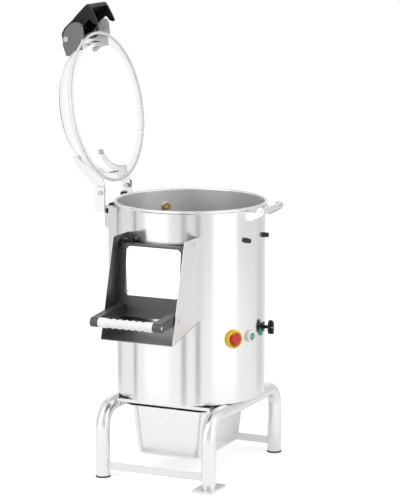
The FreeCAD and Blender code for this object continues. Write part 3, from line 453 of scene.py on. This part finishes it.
# The chute plates' inner faces take the dark colour as painted shade, and their outer faces the plain steel.
twoSided("leftPlateSteel", "X", drumX - edges["sidePlate"], plain, paintedShadeInside)
twoSided("rightPlateSteel", "X", drumX + edges["sidePlate"], paintedShadeInside, plain)
# The front latch cheek is dark and the rear one pale, split at the drum's middle: painted reflection.
twoSided("paintedReflectionCheeks", "Y", drumY, ((0.155, 0.155, 0.16), 0.36, 0.46, (3, 3, 60)), pale)
# The tray's top face is near black: painted shadow under the drum.
twoSided("trayPaintedShadow", "Z", edges["trayTop"], plain, ((0.03, 0.03, 0.03), 0.40, 0.50, (2, 2, 60)))
makePlastics()
makeGrit()
makeClear(clearFinishes)

finishOf = {
    "drumSkin": ["drum_shell"],
    "leftPlateSteel": ["chute_left_plate"],
    "rightPlateSteel": ["chute_right_plate"],
    "trayPaintedShadow": ["support_tray"],
    "paintedShadeDoor": ["door_panel"],
    "paintedShadeFloor": ["chute_floor"],
    "headSteel": ["latch_pin", "lid_fixings", "hinge_pin"],
    "bracketSteel": ["hinge_bracket"],
    "latchBlack": ["latch_handle"],
    "paintedReflectionCheeks": ["latch_cheeks"],
    "sheetSteel": ["base_cover", "chamber_floor", "hinge_ears", "lid_arms", "waste_pipe",
                   "motor_bracket"],
    "mirrorSteel": ["door_liner"],
    "tubeSteel": ["left_leg_arch", "right_leg_arch"],
    "barSteel": ["floor_plates", "front_cross_bar", "rear_cross_bar"],
    "panSteel": ["peel_pan"],
    "pinSteel": ["catch_bar", "catch_brackets", "door_screws",
                 "door_pivot_bolts", "door_catch_studs", "grip_rod", "drive_shaft", "motor_shaft", "shaft_bearings",
                 "disc_hub"],
    "greyPaint": ["door_arms"],
    "castAluminium": ["bearing_housing", "large_pulley", "motor_pulley"],
    "castGrey": ["motor"],
    "clearSheet": ["lid_dome"],
    "sealRubber": ["lid_gasket"],
    "blackMoulding": ["switch_plate", "switch_knob", "control_box"],
    "whiteMoulding": ["door_grip", "start_bezel"],
    "yellowMoulding": ["estop_plate"],
    "redMoulding": ["estop_button"],
    "greenMoulding": ["start_button", "pilot_lamp"],
    "blackRubber": ["rubber_bumpers", "rubber_feet", "hinge_buffers", "shaft_seal", "drive_belt"],
    "bondedGrit": ["abrasive_disc", "abrasive_lining"],
    "turnedBrass": ["water_nozzle"],
}


def paint(obj, name):
    if obj.data.materials:
        for i in range(len(obj.data.materials)):
            obj.data.materials[i] = finishes[name]
    else:
        obj.data.materials.append(finishes[name])


for name, members in finishOf.items():
    for node in members:
        paint(nodes[node], name)
missing = sorted(set(nodes) - {n for members in finishOf.values() for n in members})
print("materials made:", len(finishes), "nodes without one:", missing)


def roundedProfile(points, radii, steps=6):
    # A section whose corners are turned into arcs, with a close point on each side to keep the faces flat.
    rows = [points[0]]
    for i in range(1, len(points) - 1):
        corner = np.array(points[i], float)
        radius = radii[i]
        if radius <= 0:
            rows.append(tuple(corner))
            continue
        before = np.array(points[i - 1], float) - corner
        after = np.array(points[i + 1], float) - corner
        before /= np.linalg.norm(before)
        after /= np.linalg.norm(after)
        half = math.acos(max(-1, min(1, float(before @ after)))) / 2
        reach = radius / math.tan(half)
        middle = corner + (before + after) / np.linalg.norm(before + after) * radius / math.sin(half)
        first, last = corner + before * reach, corner + after * reach
        rows.append(tuple(first + before * radius * 0.12))
        a = math.atan2(*(first - middle)[::-1])
        b = math.atan2(*(last - middle)[::-1])
        turn = (b - a + math.pi) % (2 * math.pi) - math.pi
        for k in range(steps + 1):
            t = a + turn * k / steps
            rows.append((middle[0] + radius * math.cos(t), middle[1] + radius * math.sin(t)))
        rows.append(tuple(last + after * radius * 0.12))
    rows.append(points[-1])
    return rows


def addPiece(name, verts, faces, finish, body, slot, replaced=()):
    # Faces are turned round as a whole where the enclosed volume comes out negative.
    verts = np.asarray(verts, float)
    total = 0.0
    for face in faces:
        ring = verts[list(face)]
        total += float((np.cross(ring[1:-1], ring[2:]) @ ring[0]).sum())
    if total < 0:
        faces = [tuple(reversed(face)) for face in faces]
    mesh = bpy.data.meshes.new(name)
    mesh.from_pydata(verts.tolist(), [], faces)
    mesh.polygons.foreach_set("use_smooth", [True] * len(mesh.polygons))
    mesh.materials.append(finishes[finish])
    obj = bpy.data.objects.new(name, mesh)
    bpy.context.scene.collection.objects.link(obj)
    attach(obj, body)
    if replaced:
        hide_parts(*replaced)
    return obj


def lathe(rows, origin, axis, up, steps=96, wave=None, onDrum=False):
    # Turns a section of radius and distance in mm about an axis. A radius of 0 at an end closes it with a pole.
    # Otherwise the last row joins the first. With onDrum, points below the drum's skin are laid on it.
    axis, up = np.array(axis, float), np.array(up, float)
    side = np.cross(up, axis)
    rows = np.array(rows, float) / 1000
    turn = np.linspace(0, 2 * math.pi, steps, endpoint=False)
    grow = np.ones((len(rows), steps)) if wave is None else wave(rows, turn)
    radius = rows[:, :1] * grow
    across, high = radius * np.cos(turn), radius * np.sin(turn)
    along = np.repeat(rows[:, 1:], steps, axis=1)
    if onDrum:
        skin = np.sqrt(drumRadius ** 2 - across ** 2) - drumRadius
        along = np.where(along < 0, skin, along)
    grid = (np.array(origin) + across[..., None] * side + high[..., None] * up + along[..., None] * axis)
    closed = rows[0, 0] == 0 and rows[-1, 0] == 0
    inner = grid[1:-1] if closed else grid
    verts = inner.reshape(-1, 3)
    count = len(inner)
    faces = []
    for i in range(count - 1 if closed else count):
        a, b = i * steps, ((i + 1) % count) * steps
        faces += [(a + j, a + (j + 1) % steps, b + (j + 1) % steps, b + j) for j in range(steps)]
    if closed:
        first, last = len(verts), len(verts) + 1
        verts = np.vstack([verts, grid[0, 0], grid[-1, 0]])
        end = (count - 1) * steps
        faces += [(first, (j + 1) % steps, j) for j in range(steps)]
        faces += [(last, end + j, end + (j + 1) % steps) for j in range(steps)]
    return verts, faces


def joined(shapes):
    verts, faces, offset = [], [], 0
    for points, rings in shapes:
        verts.append(points)
        faces += [tuple(i + offset for i in ring) for ring in rings]
        offset += len(points)
    return np.vstack(verts), faces


def slab(outline, thick, bevel, origin, first, second, third):
    # A flat outline in mm drawn out both ways along the third direction, with a small bevel round both faces.
    outline = np.array(outline, float) / 1000
    ahead = np.roll(outline, -1, axis=0) - outline
    behind = outline - np.roll(outline, 1, axis=0)
    normal = np.stack([ahead[:, 1] + behind[:, 1], -(ahead[:, 0] + behind[:, 0])], axis=1)
    normal /= np.linalg.norm(normal, axis=1, keepdims=True)
    area = np.sum(outline[:, 0] * np.roll(outline[:, 1], -1) - outline[:, 1] * np.roll(outline[:, 0], -1))
    small = outline - normal * (bevel / 1000) * (1 if area > 0 else -1)
    half = thick / 2000
    layers = [(small, -half), (outline, -half + bevel / 1000), (outline, half - bevel / 1000), (small, half)]
    first, second, third = (np.array(v, float) for v in (first, second, third))
    points = [np.array(origin) + ring[:, :1] * first + ring[:, 1:] * second + d * third for ring, d in layers]
    n = len(outline)
    faces = [tuple(range(n))[::-1], tuple(range(3 * n, 4 * n))]
    for k in range(3):
        faces += [(k * n + j, k * n + (j + 1) % n, (k + 1) * n + (j + 1) % n, (k + 1) * n + j) for j in range(n)]
    return np.vstack(points), faces


def onSkin(bearing, height):
    # A place on the drum's skin, with the ways out of it, round it and up.
    t = math.radians(bearing)
    out = np.array([math.cos(t), math.sin(t), 0.0])
    round_ = np.array([-math.sin(t), math.cos(t), 0.0])
    origin = np.array([drumX, drumY, height / 1000]) + out * drumRadius
    return origin, out, round_, np.array([0.0, 0.0, 1.0])


drumRadius = 0.220
stopButton = {
    "bearing": -30.5, "height": 421.0, "ring": 27.0, "well": 20.5, "ringHigh": 9.0, "floor": 3.0, "collar": 12.0,
    "capRadius": 18.9, "lobes": 3, "lobeDeep": 5.6, "capStart": 8.5, "capThick": 9.3, "neck": 8.7,
}


def makeStop(c):
    # The cap's edge runs in and out three times round, as a finger grip: radius less the dip times (1 - cos 3t) / 2.
    origin, out, side, up = onSkin(c["bearing"], c["height"])
    ring = roundedProfile([(c["collar"], -1), (c["ring"], -1), (c["ring"], c["ringHigh"]), (c["well"], c["ringHigh"]),
                           (c["well"], c["floor"]), (c["collar"], c["floor"]), (c["collar"], -1)],
                          [0, 0, 3.0, 1.5, 1.2, 0.3, 0])
    addPiece("stopRing", *lathe(ring[:-1], origin, out, up, onDrum=True), "yellowMoulding", "frame", "yellow_plastic",
             ["estop_plate"])
    top = c["capStart"] + c["capThick"]

    def lobes(rows, turn):
        depth = np.clip((rows[:, :1] * 1000 - c["neck"]) / (c["capRadius"] - c["neck"]), 0, 1)
        return 1 - depth * c["lobeDeep"] / c["capRadius"] * (1 - np.cos(c["lobes"] * (turn - math.radians(30)))) / 2

    cap = roundedProfile([(0, -3), (c["neck"], -3), (c["neck"], c["capStart"]), (c["capRadius"], c["capStart"]),
                          (c["capRadius"], top), (9, top), (7.5, top - 1.2), (0, top - 1.4)],
                         [0, 0, 1.2, 1.0, 3.6, 1.0, 1.0, 0])
    addPiece("stopCap", *lathe(cap, origin, out, up, wave=lobes), "redMoulding", "estop", "red_plastic",
             ["estop_button"])


makeStop(stopButton)
startButton = {"bearing": -13.3, "height": 420.5, "bezel": 17.0, "bore": 10.8, "proud": 10.0, "cap": 10.5,
               "capProud": 10.5, "bar": (1.5, 9.0)}


def makeStart(c):
    origin, out, side, up = onSkin(c["bearing"], c["height"])
    ring = roundedProfile([(c["bore"], -1), (c["bezel"], -1), (c["bezel"], c["proud"]), (c["bore"], c["proud"]),
                           (c["bore"], -1)], [0, 0, 1.6, 1.0, 0])
    addPiece("startRing", *lathe(ring[:-1], origin, out, up, onDrum=True), "whiteMoulding", "frame", "white_plastic",
             ["start_bezel"])
    cap = roundedProfile([(0, -8), (c["cap"], -8), (c["cap"], c["capProud"]), (6, c["capProud"]),
                          (0, c["capProud"] - 0.3)], [0, 0, 1.6, 2.0, 0])
    addPiece("startCap", *lathe(cap, origin, out, up), "greenMoulding", "start", "green_plastic", ["start_button"])
    wide, tall = c["bar"]
    outline = [(-wide / 2, -tall / 2), (wide / 2, -tall / 2), (wide / 2, tall / 2), (-wide / 2, tall / 2)]
    addPiece("startMark", *slab(outline, 0.5, 0.1, origin + out * (c["capProud"] / 1000 - 0.0001), side, up, out),
             "whiteMoulding", "start", "white_plastic")


makeStart(startButton)
lampLens = {"bearing": 3.5, "height": 419.0, "radius": 8.5, "proud": 6.0}


def makeLamp(c):
    origin, out, side, up = onSkin(c["bearing"], c["height"])
    lens = roundedProfile([(0, -2.5), (c["radius"], -2.5), (c["radius"], c["proud"]), (0, c["proud"])],
                          [0, 0, 3.2, 0])
    addPiece("lampLens", *lathe(lens, origin, out, up, steps=64), "greenMoulding", "frame", "green_plastic",
             ["pilot_lamp"])


makeLamp(lampLens)
switchKnob = {"bearing": 9.5, "height": 432.0, "start": 19.0, "disc": 20.9, "thick": 6.0, "fin": 8.0, "finWide": 13.8,
              "finRound": 12.0, "shaft": 5.0, "notches": 24, "notchDeep": 0.5, "line": (7.0, 1.7)}


def makeKnob(c):
    # A disc with fine notches round its edge, a shaft behind it and an upright fin with a rounded upper corner.
    origin, out, side, up = onSkin(c["bearing"], c["height"])
    a, b = c["start"], c["start"] + c["thick"]

    def notches(rows, turn):
        depth = np.clip((rows[:, :1] * 1000 - 17) / 3, 0, 1)
        return 1 - depth * c["notchDeep"] / c["disc"] * (1 - np.cos(c["notches"] * turn)) / 2

    disc = roundedProfile([(0, -6), (c["shaft"], -6), (c["shaft"], a), (c["disc"], a), (c["disc"], b), (0, b)],
                          [0, 0, 1.0, 1.0, 1.4, 0])
    r, tall, end = c["finRound"], c["disc"] - 1, b + c["fin"]
    # The corner's height is its radius and its depth the fin's own, so that it meets the disc.
    outline = [(b - 0.5, -tall), (end, -tall)]
    for k in range(13):
        t = math.pi / 2 * k / 12
        outline.append((end - (c["fin"] - 0.5) * (1 - math.cos(t)), tall - r + r * math.sin(t)))
    outline.append((b - 0.5, tall))
    fin = slab(outline, c["finWide"], 1.0, origin, out, up, side)
    addPiece("switchKnob", *joined([lathe(disc, origin, out, up, steps=192, wave=notches), fin]), "blackMoulding",
             "switch", "black_plastic", ["switch_knob"])
    long, wide = c["line"]
    line = [(end - long, -wide / 2), (end - 0.6, -wide / 2), (end - 0.6, wide / 2), (end - long, wide / 2)]
    marks = [slab(line, 0.3, 0.05, origin + side * way * (c["finWide"] / 2000 + 0.00005), out, up, side)
             for way in (-1, 1)]
    addPiece("switchLine", *joined(marks), "whiteMoulding", "switch", "white_plastic")


makeKnob(switchKnob)
bumpers = {"bearings": (-18.0, 11.0), "height": 706.0, "radius": 7.8, "length": 15.0}


def makeBumpers(c):
    pads = []
    for bearing in c["bearings"]:
        origin, out, side, up = onSkin(bearing, c["height"])
        rows = roundedProfile([(0, -1), (c["radius"], -1), (c["radius"], 3), (c["radius"] - 0.7, 4.5),
                               (c["radius"] - 0.7, c["length"]), (3, c["length"]), (2.2, c["length"] - 1),
                               (0, c["length"] - 1)], [0, 0, 0.6, 0.6, 1.8, 0.6, 0.4, 0])
        pads.append(lathe(rows, origin, out, up, steps=64, onDrum=True))
    addPiece("bumperPads", *joined(pads), "blackRubber", "frame", "black_rubber", ["rubber_bumpers"])


makeBumpers(bumpers)
grip = {"length": 86.0, "y": -421.0, "z": 505.0, "radius": 14.4, "bore": 5.2, "waves": 6, "waveLong": 20.5,
        "waveDeep": 2.3, "collar": 1.0}


def makeGrip(c):
    # Half waves of finger grooves along the middle: radius less the depth times (1 - cos(2 pi x / pitch)) / 2.
    x = np.linspace(-c["length"] + 1.2, c["length"] - 1.2, 221)
    reach = c["waves"] * c["waveLong"] / 2
    dip = np.where(np.abs(x) < reach, (1 - np.cos(2 * math.pi * (x + reach) / c["waveLong"])) / 2, 0)
    radius = c["radius"] - c["waveDeep"] * dip ** 0.8
    rows = [(c["bore"], -c["length"]), (c["radius"] - 1.2, -c["length"]), (c["radius"] - 0.35, -c["length"] + 0.35)]
    rows += list(zip(radius, x))
    rows += [(c["radius"] - 0.35, c["length"] - 0.35), (c["radius"] - 1.2, c["length"]), (c["bore"], c["length"])]
    origin = (drumX, drumY + c["y"] / 1000, c["z"] / 1000)
    addPiece("gripSleeve", *lathe(rows, origin, (1, 0, 0), (0, 0, 1), steps=72), "whiteMoulding", "door",
             "white_plastic", ["door_grip"])


makeGrip(grip)
print("buttons, knob, bumpers and grip made")
dome = {"open": 100.0, "hingeX": -245.0, "hingeZ": 820.0, "base": 811.6, "flange": 225.0, "thick": 5.0, "lip": 2.5,
        "radius": 197.0, "knuckle": 60.0, "crown": 600.0, "skirt": 12.0, "wall": 3.5}


def domeArc(c, inset, steps=40):
    # Crown and knuckle as arcs that meet in one tangent, from the top down to the skirt.
    reach = c["radius"] - c["knuckle"]
    lean = math.asin(reach / (c["crown"] - c["knuckle"]))
    middle = c["skirt"] - math.sqrt((c["crown"] - c["knuckle"]) ** 2 - reach ** 2)
    crown, knuckle = c["crown"] - inset, c["knuckle"] - inset
    a = np.linspace(0, lean, steps)
    b = np.linspace(lean, math.pi / 2, steps)[1:]
    rows = list(zip(crown * np.sin(a), middle + crown * np.cos(a)))
    rows += list(zip(reach + knuckle * np.sin(b), c["skirt"] + knuckle * np.cos(b)))
    rows[0] = (0, middle + crown)
    return rows


def makeDome(c):
    outer, inner = domeArc(c, 0), domeArc(c, c["wall"])
    r, f, t, lip = c["radius"], c["flange"], c["thick"], c["lip"]
    rim = roundedProfile([outer[-1], (r, 0), (f - 3, 0), (f - 3, lip), (f, lip), (f, -t), (r - c["wall"], -t),
                          inner[-1]], [0, 4.0, 0.9, 0.9, 0.9, 0.9, 0.9, 0], steps=5)
    rows = outer + rim[1:-1] + inner[::-1]
    t = math.radians(c["open"])
    dx, dz = -c["hingeX"], c["base"] - c["hingeZ"]
    x = c["hingeX"] + dx * math.cos(t) - dz * math.sin(t)
    z = c["hingeZ"] + dx * math.sin(t) + dz * math.cos(t)
    axis = (-math.sin(t), 0, math.cos(t))
    origin = (drumX + x / 1000, drumY, z / 1000)
    verts, faces = lathe(rows, origin, axis, (0, 1, 0), steps=256)
    sheet = addPiece("domeSheet", verts, faces, "clearSheet", "lid", "clear_plastic", ["lid_dome"])
    sheet.data.materials.append(finishes["clearRim"])
    # The flange, which lies further out than the wall, takes the hazier finish.
    corners = np.array([verts[list(face)].mean(axis=0) for face in faces]) - origin
    away = np.linalg.norm(corners - np.outer(corners @ np.array(axis), axis), axis=1)
    sheet.data.polygons.foreach_set("material_index", (away > (r + 1) / 1000).astype(int).tolist())


makeDome(dome)
print("dome made")
